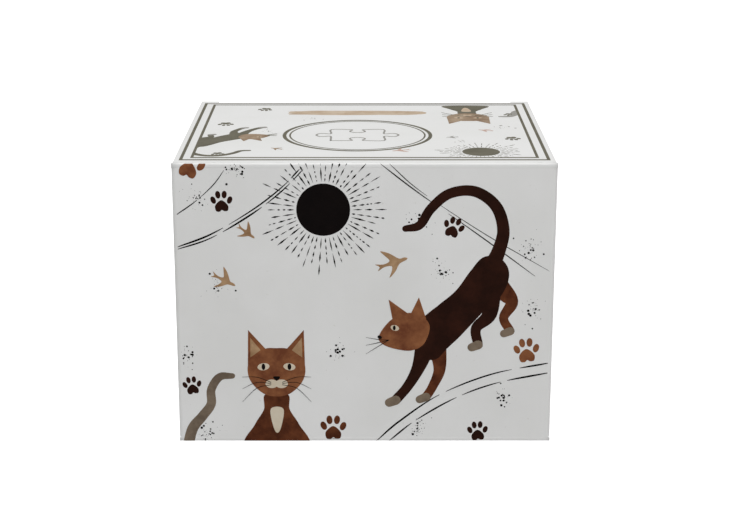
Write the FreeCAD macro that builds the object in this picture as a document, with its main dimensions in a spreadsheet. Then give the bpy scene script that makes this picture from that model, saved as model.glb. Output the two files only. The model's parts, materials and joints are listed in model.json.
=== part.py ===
import FreeCAD, Part
import math
import os
import random

import Sketcher

# A small tuck-end carton of fine corrugated board with a jigsaw puzzle packed in it.
# Millimetres. +Z is up, the origin is the middle of the carton's underside, and the lid is
# hinged along the top of the -Y wall.  Every size below is one cell of the sheet "Sizes".

SIZES = {
    # carton, outside
    "box_width": 130,
    "box_depth": 110,
    "box_height": 100,
    # corrugated board: printed liner, fluting and inner liner, glued
    "board": 1.5,
    "liner": 0.25,
    # lid and its tuck flap
    "lid_side_gap": 0.4,
    "slit_length": 7,
    "slit_gap": 0.3,
    "stub_setback": 0.3,
    "rim_gap": 0.15,
    "tuck_length": 15,
    "tuck_lean": 10,
    "tuck_gap": 0.5,
    "tuck_side_gap": 1.5,
    "tuck_corner": 9,
    "shoulder_drop": 1.6,
    # dust flaps
    "dust_gap": 0.3,
    "dust_length": 42,
    "dust_end_gap": 1,
    "dust_slope": 1.7,
    "dust_shoulder": 11,
    "dust_notch": 3,
    "dust_corner": 8,
    # manufacturer's joint
    "raw_edge_gap": 0.3,
    "glue_flap_width": 18,
    "glue_flap_taper": 4,
    "glue_flap_gap": 3,
    "glue_layer": 0.1,
    "glue_width": 11,
    "glue_margin": 3,
    # leaflet with the picture
    "guide_width": 118,
    "guide_height": 84,
    "guide_thick": 0.8,
    "guide_gap": 0.6,
    # bag
    "film": 0.2,
    "bag_gap": 1.5,
    "bag_lift": 0.3,
    "bag_corner": 9,
    "bag_headroom": 1.2,
    "seal_width": 16,
    "seal_thick": 0.6,
    # jigsaw pieces
    "piece_pitch": 22,
    "piece_thick": 1.9,
    "piece_play": 0.25,
    "knob_radius": 2.5,
    "knob_reach": 5.4,
    "neck_half": 1.7,
}
PIECE_COUNT = 120
PIECE_GROUPS = 6
SHEET = "Sizes"
HEAP_SEED = 618
STEEPEST = 0.14

document = FreeCAD.newDocument("boxed_jigsaw")
sheet = document.addObject("Spreadsheet::Sheet", SHEET)
for row, (alias, value) in enumerate(SIZES.items(), start=1):
    sheet.set(f"A{row}", alias)
    sheet.set(f"B{row}", str(value))
    sheet.setAlias(f"B{row}", alias)
document.recompute()

AXIS_X = FreeCAD.Vector(1, 0, 0)
AXIS_Y = FreeCAD.Vector(0, 1, 0)
AXIS_Z = FreeCAD.Vector(0, 0, 1)
CYCLE = FreeCAD.Rotation(FreeCAD.Vector(1, 1, 1), 120)
FLIP = FreeCAD.Rotation(AXIS_Y, 180)
subparts = []


def number(expression):
    """The value that an expression of the sheet has now."""
    return float(sheet.evalExpression(expression))


# Expressions that more than one piece uses.
S = {alias: f"{SHEET}.{alias}" for alias in SIZES}
HALF_W = f"({S['box_width']} / 2)"
HALF_D = f"({S['box_depth']} / 2)"
HEIGHT = S["box_height"]
BOARD = S["board"]
LAYERS = (
    ("printed_liner", "0", S["liner"]),
    ("fluting", S["liner"], f"({BOARD} - {S['liner']})"),
    ("inner_liner", f"({BOARD} - {S['liner']})", BOARD),
)
LID_HALF = f"({HALF_W} - {S['lid_side_gap']})"
ROOT_HALF = f"({LID_HALF} - {S['slit_length']} - {S['slit_gap']})"
TUCK_HALF = f"({HALF_W} - {BOARD} - {S['tuck_side_gap']})"
LID_REACH = f"({S['box_depth']} - 2 * {BOARD} - {S['tuck_gap']})"
LID_FOLD_Y = f"({LID_REACH} - {HALF_D})"
DUST_TOP = f"({HEIGHT} - {BOARD} - {S['dust_gap']})"
DUST_START = f"({BOARD} + {S['dust_end_gap']})"
DUST_END = f"({LID_REACH} - {S['dust_end_gap']})"
GLUE_HALF = f"({HEIGHT} / 2 - {BOARD} - {S['tuck_length']} - {S['glue_flap_gap']})"
LEAN = number(S["tuck_lean"])


def place(piece, rotation, x, y, z, bottom=False):
    """Stand a piece in the carton; the bottom closure is the top one turned over about Y."""
    if bottom:
        rotation = FLIP.multiply(rotation)
        x = f"-({x})"
        z = f"{HEIGHT} - ({z})"
    piece.Placement = FreeCAD.Placement(FreeCAD.Vector(), rotation)
    piece.setExpression("Placement.Base.x", x)
    piece.setExpression("Placement.Base.y", y)
    piece.setExpression("Placement.Base.z", z)


def box(name, low, high, keep=True):
    """A block between two corners, each given as three expressions."""
    block = document.addObject("Part::Box", name)
    for side, axis, start, end in zip(("Length", "Width", "Height"), "xyz", low, high):
        block.setExpression(side, f"({end}) - ({start})")
        block.setExpression(f"Placement.Base.{axis}", start)
    if keep:
        subparts.append(block)
    return block


def outline_body(name, corners, deep, shallow, rounds=()):
    """A body cut from sheet: a straight-sided outline padded between two depths.

    The outer face is at z = 0 and the depths count down from it.  rounds lists
    (corner number, radius expression) for the outline corners that are rounded off.
    """
    body = document.addObject("PartDesign::Body", name)
    sketch = body.newObject("Sketcher::SketchObject", f"{name}_outline")
    plane = next(f for f in body.Origin.OriginFeatures if f.Role == "XY_Plane")
    sketch.AttachmentSupport = [(plane, "")]
    sketch.MapMode = "FlatFace"
    points = [FreeCAD.Vector(number(x), number(y), 0) for x, y in corners]
    for start, end in zip(points, points[1:] + points[:1]):
        sketch.addGeometry(Part.LineSegment(start, end))
    for i in range(len(points)):
        sketch.addConstraint(Sketcher.Constraint("Coincident", i, 2, (i + 1) % len(points), 1))
    for i, (x, y) in enumerate(corners):
        across = Sketcher.Constraint("DistanceX", -1, 1, i, 1, points[i].x)
        sketch.setExpression(f"Constraints[{sketch.addConstraint(across)}]", x)
        along = Sketcher.Constraint("DistanceY", -1, 1, i, 1, points[i].y)
        sketch.setExpression(f"Constraints[{sketch.addConstraint(along)}]", y)
    sketch.setExpression("AttachmentOffset.Base.z", f"-({deep})")
    pad = body.newObject("PartDesign::Pad", f"{name}_pad")
    pad.Profile = sketch
    pad.setExpression("Length", f"({deep}) - ({shallow})")
    for number_of_corner, radius in rounds:
        document.recompute()
        base = body.Tip
        fillet = body.newObject("PartDesign::Fillet", f"{name}_round_{number_of_corner}")
        fillet.Base = (base, [upright_edge(base.Shape, points[number_of_corner])])
        fillet.setExpression("Radius", radius)
        body.Tip = fillet
    return body


def upright_edge(shape, point):
    """Name of the edge that stands on one corner of the outline."""
    for i, edge in enumerate(shape.Edges, start=1):
        ends = [vertex.Point for vertex in edge.Vertexes]
        if all(math.hypot(end.x - point.x, end.y - point.y) < 1e-6 for end in ends):
            return f"Edge{i}"
    raise ValueError("no upright edge at this corner")


def sheet_panel(name, corners, rotation, x, y, z, bottom=False, rounds=()):
    """The three layers of one flat panel."""
    for layer, shallow, deep in LAYERS:
        body = outline_body(f"{name}_{layer}", corners, deep, shallow, rounds)
        place(body, rotation, x, y, z, bottom)
        subparts.append(body)


def crease(name, along, angle, sweep, half_length, x, y, z, bottom=False):
    """The crushed board in a fold: a sector of radius one board about the inner corner."""
    if along == "X":
        rotation = FreeCAD.Rotation(AXIS_X, angle).multiply(CYCLE)
        x = f"{x} - ({half_length})"
    else:
        rotation = FreeCAD.Rotation(-AXIS_Y, angle).multiply(FreeCAD.Rotation(AXIS_X, 90))
        y = f"{y} + ({half_length})"
    strip = document.addObject("Part::Cylinder", name)
    strip.setExpression("Radius", BOARD)
    strip.setExpression("Height", f"2 * ({half_length})")
    strip.setExpression("Angle", sweep)
    place(strip, rotation, x, y, z, bottom)
    subparts.append(strip)


def walls():
    """Four walls; the two that carry the vertical folds end in quarter rounds."""
    for layer, shallow, deep in LAYERS:
        shells = []
        for side, depth in (("outer", shallow), ("inner", deep)):
            block = box(
                f"{layer}_{side}_block",
                (f"{depth} - {HALF_W}", f"{depth} - {HALF_D}", "0"),
                (f"{HALF_W} - {depth}", f"{HALF_D} - {depth}", HEIGHT),
                keep=False,
            )
            document.recompute()
            radius = number(f"{BOARD} - {depth}")
            if radius > 0:
                rounded = document.addObject("Part::Fillet", f"{layer}_{side}_rounded")
                rounded.Base = block
                upright = [
                    i
                    for i, edge in enumerate(block.Shape.Edges, start=1)
                    if edge.BoundBox.ZLength > edge.BoundBox.XLength + edge.BoundBox.YLength
                ]
                rounded.Edges = [(i, radius, radius) for i in upright]
                block = rounded
            shells.append(block)
        ring = document.addObject("Part::Cut", f"{layer}_ring")
        ring.Base, ring.Tool = shells

        front_zone = box(
            f"front_zone_{layer}",
            (f"-{HALF_W}", f"-{HALF_D}", BOARD),
            (HALF_W, f"{BOARD} - {HALF_D}", f"{HEIGHT} - {BOARD}"),
            keep=False,
        )
        front = document.addObject("Part::Common", f"front_wall_{layer}")
        front.Base, front.Tool = ring, front_zone
        subparts.append(front)

        low = f"{BOARD} + {S['rim_gap']}"
        corner_zone = box(
            f"back_zone_{layer}",
            (f"{HALF_W} - {BOARD}", f"{HALF_D} - {BOARD}", low),
            (HALF_W, HALF_D, f"{HEIGHT} - ({low})"),
            keep=False,
        )
        corner = document.addObject("Part::Common", f"back_corner_{layer}")
        corner.Base, corner.Tool = ring, corner_zone
        flat = box(
            f"back_flat_{layer}",
            (f"{S['raw_edge_gap']} - {HALF_W}", f"{HALF_D} - {deep}", low),
            (f"{HALF_W} - {BOARD}", f"{HALF_D} - {shallow}", f"{HEIGHT} - ({low})"),
            keep=False,
        )
        back = document.addObject("Part::Fuse", f"back_wall_{layer}")
        back.Base, back.Tool = flat, corner
        back.Refine = True
        subparts.append(back)

        side_low = f"2 * {BOARD} + {S['dust_gap']}"
        for name, sign in (("left", -1), ("right", 1)):
            ends = [f"{sign} * ({HALF_W} - {depth})" for depth in (shallow, deep)]
            ends = ends if sign < 0 else ends[::-1]
            box(
                f"{name}_wall_{layer}",
                (ends[0], f"{BOARD} - {HALF_D}", side_low),
                (ends[1], f"{HALF_D} - {BOARD}", f"{HEIGHT} - ({side_low})"),
            )


def glue_joint():
    """The narrow flap that closes the tube, inside the back wall, and its line of glue."""
    taper = S["glue_flap_taper"]
    far = f"{BOARD} + {S['glue_flap_width']}"
    corners = (
        (f"-{GLUE_HALF}", BOARD),
        (GLUE_HALF, BOARD),
        (f"{GLUE_HALF} - {taper}", far),
        (f"{taper} - {GLUE_HALF}", far),
    )
    outer_face = f"{HALF_D} - {BOARD} - {S['glue_layer']}"
    sheet_panel("glue_flap", corners, CYCLE.inverted(), f"-{HALF_W}", outer_face, f"{HEIGHT} / 2")
    start = f"{BOARD} + {S['glue_margin']} - {HALF_W}"
    low = f"{HEIGHT} / 2 - {GLUE_HALF} + {taper} + {S['glue_margin']}"
    box(
        "joint_glue_line",
        (start, outer_face, low),
        (f"{start} + {S['glue_width']}", f"{HALF_D} - {BOARD}", f"{HEIGHT} - ({low})"),
    )


def closure(names, bottom):
    """One end of the carton: lid panel, tuck flap, two dust flaps and their four folds."""
    lid, first_dust, second_dust = names
    stub = f"({S['box_depth']} - {S['stub_setback']})"
    inner = f"({LID_HALF} - {S['slit_length']})"
    lid_corners = (
        (f"-{LID_HALF}", BOARD),
        (LID_HALF, BOARD),
        (LID_HALF, stub),
        (inner, stub),
        (inner, LID_REACH),
        (f"-{inner}", LID_REACH),
        (f"-{inner}", stub),
        (f"-{LID_HALF}", stub),
    )
    level = FreeCAD.Rotation()
    sheet_panel(lid, lid_corners, level, "0", f"-{HALF_D}", HEIGHT, bottom)
    under = f"{HEIGHT} - {BOARD}"
    crease(f"{lid}_crease", "X", 90, "90", LID_HALF, "0", f"{BOARD} - {HALF_D}", under, bottom)

    shoulder = f"({S['shoulder_drop']} + {S['tuck_gap']})"
    tuck_corners = (
        (f"-{ROOT_HALF}", "0"),
        (ROOT_HALF, "0"),
        (ROOT_HALF, shoulder),
        (TUCK_HALF, shoulder),
        (TUCK_HALF, S["tuck_length"]),
        (f"-{TUCK_HALF}", S["tuck_length"]),
        (f"-{TUCK_HALF}", shoulder),
        (f"-{ROOT_HALF}", shoulder),
    )
    rounds = ((4, S["tuck_corner"]), (5, S["tuck_corner"]))
    hang = FreeCAD.Rotation(AXIS_X, -(90 + LEAN))
    out = f"{LID_FOLD_Y} + {BOARD} * cos({S['tuck_lean']} * 1 deg)"
    drop = f"{under} - {BOARD} * sin({S['tuck_lean']} * 1 deg)"
    sheet_panel(f"{lid}_tuck_flap", tuck_corners, hang, "0", out, drop, bottom, rounds)
    sweep = f"90 + {S['tuck_lean']}"
    crease(f"{lid}_tuck_crease", "X", -LEAN, sweep, ROOT_HALF, "0", LID_FOLD_Y, under, bottom)

    half_crease = f"(({DUST_END}) - ({DUST_START})) / 2"
    middle = f"(({DUST_END}) + ({DUST_START})) / 2 - {HALF_D}"
    for name, sign in ((first_dust, -1), (second_dust, 1)):
        # Local x runs along the fold and local y from the wall towards the carton's middle.
        def along(reach, sign=sign):
            return f"{sign} * ({reach} - {HALF_D})"

        notch = f"{DUST_END} - {S['dust_notch']}"
        corners = (
            (along(DUST_START), BOARD),
            (along(DUST_END), BOARD),
            (along(DUST_END), S["dust_shoulder"]),
            (along(notch), f"{S['dust_shoulder']} + {S['dust_notch']}"),
            (along(notch), S["dust_length"]),
            (along(f"{DUST_START} + {S['dust_length']} / {S['dust_slope']}"), S["dust_length"]),
        )
        rounds = ((4, S["dust_corner"]), (5, S["dust_corner"]))
        turn = FreeCAD.Rotation(AXIS_Z, 90 * sign)
        sheet_panel(name, corners, turn, f"{sign} * {HALF_W}", "0", DUST_TOP, bottom, rounds)
        centre = f"{sign} * ({HALF_W} - {BOARD})"
        start = 90 if sign < 0 else 0
        height = f"{DUST_TOP} - {BOARD}"
        crease(f"{name}_crease", "Y", start, "90", half_crease, centre, middle, height, bottom)


def knob_side(start, end, way):
    """One side of a piece from start to end: straight, or with a knob out (1) or in (-1)."""
    if way == 0:
        return [Part.LineSegment(start, end).toShape()]
    ahead = (end - start).normalize()
    outward = ahead.cross(AXIS_Z).multiply(way)
    middle = (start + end).multiply(0.5)
    radius = number(S["knob_radius"])
    head = middle + outward * (number(S["knob_reach"]) - radius)
    half_neck = number(S["neck_half"])
    fall = math.sqrt(radius**2 - half_neck**2)
    necks = [head + ahead * (side * half_neck) - outward * fall for side in (-1, 1)]
    feet = [middle + ahead * (side * 2 * half_neck) for side in (-1, 1)]
    # Each neck curve leaves the side square to it and bends in under the head.
    bends = []
    for side, foot, neck in zip((-1, 1), feet, necks):
        halfway = (foot + neck) * 0.5
        bends.append(halfway - ahead * (side * 0.25 * half_neck))
    return [
        Part.LineSegment(start, feet[0]).toShape(),
        Part.Arc(feet[0], bends[0], necks[0]).toShape(),
        Part.Arc(necks[0], head + outward * radius, necks[1]).toShape(),
        Part.Arc(necks[1], bends[1], feet[1]).toShape(),
        Part.LineSegment(feet[1], end).toShape(),
    ]


def piece_solid(sides, half):
    """One die-cut piece, flat on z = 0, with a side kind for each of its four sides."""
    square = [(-half, -half), (half, -half), (half, half), (-half, half)]
    points = [FreeCAD.Vector(x, y, 0) for x, y in square]
    edges = []
    for way, start, end in zip(sides, points, points[1:] + points[:1]):
        edges += knob_side(start, end, way)
    face = Part.Face(Part.Wire(edges))
    return face.extrude(FreeCAD.Vector(0, 0, number(S["piece_thick"])))


class Heap:
    """Height of the pieces already dropped, on a square grid over the bag's floor."""

    CELL = 1.2
    CLEAR = 0.12
    TRIES = 26

    def __init__(self, low, high, corner):
        self.low, self.high, self.corner = low, high, corner
        self.thick = number(S["piece_thick"])
        self.half = (number(S["piece_pitch"]) - number(S["piece_play"])) / 2
        self.knob = number(S["knob_radius"])
        self.reach = number(S["knob_reach"])
        self.columns = [int((high[i] - low[i]) / self.CELL) for i in (0, 1)]
        self.level = [[0.0] * self.columns[1] for _ in range(self.columns[0])]

    def inside(self, x, y):
        """Whether a cell centre is in the bag's rounded plan."""
        past = []
        for value, low, high in zip((x, y), self.low, self.high):
            past.append(max(low + self.corner - value, value - high + self.corner, 0))
        return math.hypot(*past) < self.corner

    def footprint(self, x, y, yaw, sides, slope):
        """Cells that a piece covers, with a margin, or None where it leaves the bag."""
        margin = 0.71 * self.CELL + self.thick * slope + self.CLEAR
        square = self.half + margin
        knob = self.knob + margin
        head = self.half + self.reach - self.knob
        ways = zip(sides, ((0, -1), (1, 0), (0, 1), (-1, 0)))
        heads = [(knob_x * head, knob_y * head) for way, (knob_x, knob_y) in ways if way == 1]
        span = self.half + self.reach + margin
        cos, sin = math.cos(yaw), math.sin(yaw)
        cells = []
        first = [int((c - span * 1.42 - low) / self.CELL) for c, low in zip((x, y), self.low)]
        last = [int((c + span * 1.42 - low) / self.CELL) + 1 for c, low in zip((x, y), self.low)]
        for i in range(first[0], last[0]):
            cell_x = self.low[0] + (i + 0.5) * self.CELL
            for j in range(first[1], last[1]):
                cell_y = self.low[1] + (j + 0.5) * self.CELL
                across = (cell_x - x) * cos + (cell_y - y) * sin
                along = (cell_y - y) * cos - (cell_x - x) * sin
                covered = max(abs(across), abs(along)) < square or any(
                    math.hypot(across - knob_x, along - knob_y) < knob for knob_x, knob_y in heads
                )
                if not covered:
                    continue
                grid = 0 <= i < self.columns[0] and 0 <= j < self.columns[1]
                if not grid or not self.inside(cell_x, cell_y):
                    return None
                cells.append((i, j, cell_x - x, cell_y - y))
        return cells

    def rest_height(self, cells, tilt_x, tilt_y):
        """Lowest height at which a tilted piece clears everything under it."""
        rough = (abs(tilt_x) + abs(tilt_y)) * 0.5 * self.CELL + self.CLEAR
        return max(self.level[i][j] - tilt_x * u - tilt_y * v for i, j, u, v in cells) + rough

    def settle(self, cells, tilt_x, tilt_y, height):
        """Add a dropped piece's upper face to the heap."""
        rough = (abs(tilt_x) + abs(tilt_y)) * 0.5 * self.CELL
        rise = self.thick * math.hypot(1, tilt_x, tilt_y) + rough
        for i, j, u, v in cells:
            self.level[i][j] = height + tilt_x * u + tilt_y * v + rise


def drop_pieces(low, high, floor):
    """Drop every piece into the bag one by one; each takes the lowest of a few places."""
    chance = random.Random(HEAP_SEED)
    heap = Heap(low, high, number(f"{S['bag_corner']} - {S['film']}"))
    half = heap.half
    solids = []
    for _ in range(PIECE_COUNT):
        sides = [chance.choice((1, -1, 1, -1, 1, -1, 0)) for _ in range(4)]
        best = None
        tries = 0
        while best is None or tries < heap.TRIES:
            tries += 1
            x = chance.uniform(low[0] + half, high[0] - half)
            y = chance.uniform(low[1] + half, high[1] - half)
            yaw = chance.uniform(0, 2 * math.pi)
            tilt = chance.uniform(0, STEEPEST)
            lean = chance.uniform(0, 2 * math.pi)
            tilt_x, tilt_y = tilt * math.cos(lean), tilt * math.sin(lean)
            cells = heap.footprint(x, y, yaw, sides, tilt)
            if cells is None:
                continue
            height = heap.rest_height(cells, tilt_x, tilt_y)
            if best is None or height < best[0]:
                best = (height, x, y, yaw, tilt_x, tilt_y, cells)
        height, x, y, yaw, tilt_x, tilt_y, cells = best
        heap.settle(cells, tilt_x, tilt_y, height)
        normal = FreeCAD.Vector(-tilt_x, -tilt_y, 1)
        turn = FreeCAD.Rotation(AXIS_Z, normal).multiply(FreeCAD.Rotation(AXIS_Z, math.degrees(yaw)))
        solid = piece_solid(sides, half)
        solid.Placement = FreeCAD.Placement(FreeCAD.Vector(x, y, floor + height), turn)
        solids.append(solid)
    return solids


def contents():
    """Bag of pieces on the bottom flaps, and the folded picture leaflet against the wall."""
    front = f"{BOARD} + {S['guide_gap']} - {HALF_D}"
    stand = f"2 * {BOARD} + {S['dust_gap']} + {S['bag_lift']}"
    box(
        "picture_leaflet",
        (f"-{S['guide_width']} / 2", front, stand),
        (f"{S['guide_width']} / 2", f"{front} + {S['guide_thick']}", f"{stand} + {S['guide_height']}"),
    )
    half = f"({HALF_W} - {BOARD} - {S['bag_gap']})"
    near = f"({front} + {S['guide_thick']} + {S['guide_gap']})"
    swing = f"{S['tuck_length']} * sin({S['tuck_lean']} * 1 deg)"
    far = f"({LID_FOLD_Y} - {swing} - {S['bag_gap']})"
    film = S["film"]
    low = (number(f"{film} - {half}"), number(f"{near} + {film}"))
    high = (number(f"{half} - {film}"), number(f"{far} - {film}"))
    floor = number(f"{stand} + {film}")
    solids = sorted(drop_pieces(low, high, floor), key=lambda solid: solid.BoundBox.ZMin)

    share = math.ceil(len(solids) / PIECE_GROUPS)
    for group in range(PIECE_GROUPS):
        pieces = document.addObject("Part::Feature", f"jigsaw_pieces_layer_{group + 1}")
        pieces.Shape = Part.Compound(solids[group * share : (group + 1) * share])
        subparts.append(pieces)

    top = max(solid.BoundBox.ZMax for solid in solids)
    lid = f"({top} + {S['bag_headroom']})"
    shells = []
    for side, wall, corner in (("outer", "0", "0"), ("inner", film, film)):
        block = box(
            f"bag_{side}_block",
            (f"{wall} - {half}", f"{near} + {wall}", f"{stand} + {wall}"),
            (f"{half} - {wall}", f"{far} - {wall}", f"{lid} - {wall}"),
            keep=False,
        )
        document.recompute()
        rounded = document.addObject("Part::Fillet", f"bag_{side}_rounded")
        rounded.Base = block
        radius = number(f"{S['bag_corner']} - {corner}")
        upright = [
            i
            for i, edge in enumerate(block.Shape.Edges, start=1)
            if edge.BoundBox.XLength + edge.BoundBox.YLength < 1e-6
        ]
        rounded.Edges = [(i, radius, radius) for i in upright]
        shells.append(rounded)
    bag = document.addObject("Part::Cut", "bag_shell")
    bag.Base, bag.Tool = shells
    fin = box(
        "bag_seal_fin",
        (f"{S['bag_corner']} - {half}", f"({near} + {far} - {S['seal_width']}) / 2", lid),
        (
            f"{half} - {S['bag_corner']}",
            f"({near} + {far} + {S['seal_width']}) / 2",
            f"{lid} + {S['seal_thick']}",
        ),
        keep=False,
    )
    whole = document.addObject("Part::Fuse", "puzzle_bag")
    whole.Base, whole.Tool = bag, fin
    subparts.append(whole)


walls()
glue_joint()
closure(("lid", "top_dust_flap_left", "top_dust_flap_right"), bottom=False)
closure(("bottom", "bottom_dust_flap_right", "bottom_dust_flap_left"), bottom=True)
contents()
document.recompute()

for item in document.Objects:
    if "Invalid" in item.State or "Error" in item.State:
        raise RuntimeError(f"{item.Name} failed to recompute")
for item in subparts:
    if item.Shape.isNull() or not item.Shape.isValid():
        raise RuntimeError(f"{item.Name} has no valid shape")

os.makedirs("parts", exist_ok=True)
for item in subparts:
    item.Label = item.Name
    item.Shape.exportStep(f"parts/{item.Label}.step")
print(len(subparts), "sub-parts written")
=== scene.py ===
import json
import math
from functools import partialmethod

import bpy
import numpy as np
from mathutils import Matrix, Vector

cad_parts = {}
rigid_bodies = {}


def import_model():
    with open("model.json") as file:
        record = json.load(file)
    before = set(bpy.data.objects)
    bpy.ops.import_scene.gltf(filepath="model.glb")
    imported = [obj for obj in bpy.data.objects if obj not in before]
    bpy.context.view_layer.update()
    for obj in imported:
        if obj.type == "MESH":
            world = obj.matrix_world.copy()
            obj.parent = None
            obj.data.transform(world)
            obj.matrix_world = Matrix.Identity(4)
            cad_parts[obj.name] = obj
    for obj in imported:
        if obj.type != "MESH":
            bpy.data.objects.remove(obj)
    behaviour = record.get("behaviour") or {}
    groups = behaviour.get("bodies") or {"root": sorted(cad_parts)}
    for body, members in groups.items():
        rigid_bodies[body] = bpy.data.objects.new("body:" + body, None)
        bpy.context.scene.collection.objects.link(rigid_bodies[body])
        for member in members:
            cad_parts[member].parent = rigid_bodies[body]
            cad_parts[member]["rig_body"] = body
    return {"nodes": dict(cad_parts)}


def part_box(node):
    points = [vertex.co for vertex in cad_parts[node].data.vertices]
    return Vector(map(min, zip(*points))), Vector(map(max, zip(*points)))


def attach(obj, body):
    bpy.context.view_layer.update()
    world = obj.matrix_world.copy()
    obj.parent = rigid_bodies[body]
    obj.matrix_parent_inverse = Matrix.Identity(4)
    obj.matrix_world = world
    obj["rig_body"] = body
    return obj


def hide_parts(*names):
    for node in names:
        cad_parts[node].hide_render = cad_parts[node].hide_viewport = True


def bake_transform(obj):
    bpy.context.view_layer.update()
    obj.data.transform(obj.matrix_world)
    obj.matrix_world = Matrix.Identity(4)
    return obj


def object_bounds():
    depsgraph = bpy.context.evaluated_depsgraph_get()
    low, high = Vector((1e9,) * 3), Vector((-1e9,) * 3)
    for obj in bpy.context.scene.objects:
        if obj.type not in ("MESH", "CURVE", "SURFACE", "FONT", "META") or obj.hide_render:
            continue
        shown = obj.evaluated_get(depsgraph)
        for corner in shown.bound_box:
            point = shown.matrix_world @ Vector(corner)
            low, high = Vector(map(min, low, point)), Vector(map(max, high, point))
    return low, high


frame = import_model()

# A printed tuck-end carton of fine corrugated board with a bag of jigsaw pieces inside.
# Metres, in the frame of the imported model; drawings are laid out in millimetres and scaled.

cad_low, cad_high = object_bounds()
MM = 0.001
BOARD = 1.5 * MM
LINER = 0.25 * MM
WIDTH, DEPTH, HEIGHT = (high - low for low, high in zip(cad_low, cad_high))
RIGHT, BACK, UP = np.eye(3)

# Fluting: pitch and paper, the gap to the panel's outline, mesh columns in one pitch, and how
# many times its thickness the paper may measure along the board's normal
FLUTE_PITCH = 3.2 * MM
FLUTE_PAPER = 0.13 * MM
FLUTE_INSET = 0.02 * MM
FLAT_STEPS = 10
CORNER_STEPS = 12
FLAT_STEEPEST = 1.6
CORNER_STEEPEST = 1.4

# Folds: how square the bulge is, how far the lid's fold spreads at its ends, the lining, mesh
# steps, and where the print's bands end as shares of a board
FOLD_TIGHTNESS = 5.0
FOLD_FLARE = 0.35 * MM
TUCK_LEAN = 10
LINING_PROUD = 0.06 * MM
LINING_THICK = 0.08 * MM
FOLD_SPOKES = 19
FOLD_COLUMNS = 41
LINING_STEPS = 9
PRINT_BANDS = (-0.03, 0.25, 0.5, 0.66, 0.78, 0.86, 0.92)

# Ink, in millimetres: its depth in the board, its height, what each layer and shape adds, and
# how near two points are one and how thin a shape is left out
INK_UNDER = 0.02
INK_HEIGHT = 0.035
INK_STEP = 0.012
INK_LIFT = 0.0002
INK_LIFTS = 40
SAME_POINT = 1e-4
THINNEST = 0.02

# The picture's pieces and the folded leaflet
PICTURE_COLUMNS = 12
PICTURE_ROWS = 10
PITCH = 22.0 * MM
LEAVES = 4
PAPER = 0.11 * MM

# The bag: its film, how square its plan is, points round it, rings on its floor, sides and top,
# the grid that the heap is measured on, and the seal
FILM = 0.09 * MM
BAG_SQUARENESS = 9.0
BAG_POINTS = 320
FLOOR_RINGS, SIDE_RINGS, TOP_RINGS = 14, 26, 34
BAG_COLUMNS, BAG_ROWS = 54, 44
LEAST_HEAP = 30 * MM
SEAL_HALF = 8 * MM
SEAL_END = 4 * MM
SEAL_PLAIN = 2.5 * MM
SEAL_PITCH = 2.4 * MM
SEAL_CRIMP = 0.12 * MM
SEAL_THICK = 0.16 * MM


# ---- materials

def srgb(red, green, blue):
    """A colour given as it looks on a screen, 0 to 255, as the linear colour Blender takes."""
    share = np.array([red, green, blue]) / 255
    linear = np.where(share <= 0.04045, share / 12.92, ((share + 0.055) / 1.055) ** 2.4)
    return (*(float(c) for c in linear), 1.0)


class Wire:
    """A number on a node's output that can be added, multiplied and compared."""

    def __init__(self, paint, socket):
        self.paint = paint
        self.socket = socket

    def maths(self, operation, other=0.0):
        return self.paint.node("ShaderNodeMath", {"operation": operation}, {0: self, 1: other})

    __add__ = __radd__ = partialmethod(maths, "ADD")
    __sub__ = partialmethod(maths, "SUBTRACT")
    __mul__ = __rmul__ = partialmethod(maths, "MULTIPLY")
    __gt__ = partialmethod(maths, "GREATER_THAN")
    __lt__ = partialmethod(maths, "LESS_THAN")
    sine = partialmethod(maths, "SINE")

    def __rsub__(self, other):
        return self * -1.0 + other


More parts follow.
